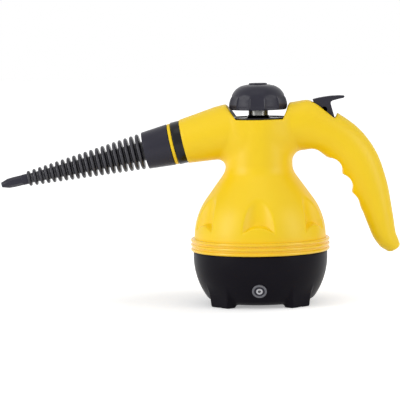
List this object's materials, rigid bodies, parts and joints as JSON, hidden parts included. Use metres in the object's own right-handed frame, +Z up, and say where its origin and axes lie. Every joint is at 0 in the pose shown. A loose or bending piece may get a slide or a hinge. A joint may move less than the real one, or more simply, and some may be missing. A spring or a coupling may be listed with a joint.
{
  "type": "handheld steam cleaner",
  "caption": "Handheld steam cleaner: round boiler body on a footed base, screw filler cap, curved finger-grip handle with thumb trigger and a long finned nozzle that twists off.",
  "frame": {"origin": "centre of the machine's outline on the floor under its feet", "axes": "+X from the nozzle towards the handle, +Y across to the machine's right side, +Z up"},
  "size_m": [0.4182, 0.148, 0.2317],
  "materials": {
    "yellow_housing": "satin moulded ABS",
    "yellow_trim": "glossy moulded ABS",
    "black_base": "fine-textured moulded plastic",
    "black_gloss": "glossy moulded plastic",
    "lens": "clear amber plastic",
    "screw_steel": "zinc-plated",
    "boiler_alloy": "die cast",
    "neck_steel": "polished",
    "spring_steel": "drawn wire",
    "fitting_brass": "turned",
    "seal_rubber": "moulded silicone",
    "hose_rubber": "extruded silicone",
    "white_plastic": "moulded nylon",
    "wire_cover": "heat-proof sleeve"
  },
  "bodies": {
    "machine": {"shell_left": "yellow_housing", "shell_right": "yellow_housing", "shell_screws": "screw_steel", "ribbed_collar": "yellow_trim", "base_cup": "black_base", "base_screws": "screw_steel", "boiler_bottom": "boiler_alloy", "boiler_gasket": "seal_rubber", "boiler_top": "boiler_alloy", "boiler_bolts": "screw_steel", "boiler_nuts": "screw_steel", "filler_neck": "neck_steel", "heating_element": "spring_steel", "thermostat": "white_plastic", "thermostat_screws": "screw_steel", "thermal_fuse": "white_plastic", "fuse_clip": "spring_steel", "terminal_block": "white_plastic", "lead_wires": "wire_cover", "cord_bushing": "seal_rubber", "cord_clamp": "white_plastic", "clamp_screws": "screw_steel", "indicator_bezel": "black_gloss", "indicator_lens": "lens", "indicator_lamp": "lens", "filler_dish": "black_gloss", "trigger_pin": "screw_steel", "valve_body": "fitting_brass", "valve_plug": "fitting_brass", "valve_spring": "spring_steel", "steam_elbow": "fitting_brass", "inlet_hose": "hose_rubber", "outlet_hose": "hose_rubber", "hose_clamps": "spring_steel", "outlet_pipe": "fitting_brass", "nozzle_socket": "black_gloss", "socket_seal": "seal_rubber"},
    "trigger": {"trigger_lever": "black_gloss"},
    "stem": {"valve_stem": "screw_steel", "stem_seal": "seal_rubber"},
    "cap_carrier": {"cap_gasket": "seal_rubber", "relief_spring": "spring_steel"},
    "cap": {"cap_knob": "black_gloss", "cap_plug": "fitting_brass", "cap_button": "black_gloss"},
    "relief": {"relief_pin": "fitting_brass"},
    "nozzle_slide": {"index_band": "yellow_trim"},
    "nozzle": {"nozzle_coupler": "black_gloss", "finned_nozzle": "black_base", "nozzle_tube": "screw_steel", "nozzle_tip": "black_gloss"}
  },
  "joints": [
    {"name": "trigger_press", "type": "hinge", "parent": "machine", "child": "trigger", "pos_m": [0.12427, 0, 0.2015], "axis": [0, 1, 0], "range_deg": [0, 15], "stiffness_Nm_per_rad": 0.15, "springref_deg": -5.73},
    {"name": "stem_push", "type": "slide", "parent": "machine", "child": "stem", "axis": [0, 0, -1], "range_m": [0, 0.0021], "deforming": ["valve_spring"]},
    {"name": "cap_lift", "type": "slide", "parent": "machine", "child": "cap_carrier", "axis": [0, 0, 1], "range_m": [0, 0.0161]},
    {"name": "cap_turn", "type": "hinge", "parent": "cap_carrier", "child": "cap", "pos_m": [0.06327, 0, 0.207], "axis": [0, 0, 1], "range_deg": [0, 1440]},
    {"name": "relief_lift", "type": "slide", "parent": "cap_carrier", "child": "relief", "axis": [0, 0, 1], "range_m": [0, 0.0015], "stiffness_N_per_m": 500, "springref_m": -0.004, "deforming": ["relief_spring"]},
    {"name": "nozzle_pull", "type": "slide", "parent": "machine", "child": "nozzle_slide", "axis": [-0.9759, 0, -0.2181], "range_m": [0, 0.03]},
    {"name": "nozzle_twist", "type": "hinge", "parent": "nozzle_slide", "child": "nozzle", "pos_m": [-0.01543, 0, 0.1707], "axis": [-0.9759, 0, -0.2181], "range_deg": [0, 40]}
  ],
  "couplings": [
    {"joint": "stem_push", "follows": "trigger_press", "m_per_rad": 0.007977},
    {"joint": "cap_lift", "follows": "cap_turn", "m_per_rad": 0.00063662}
  ]
}
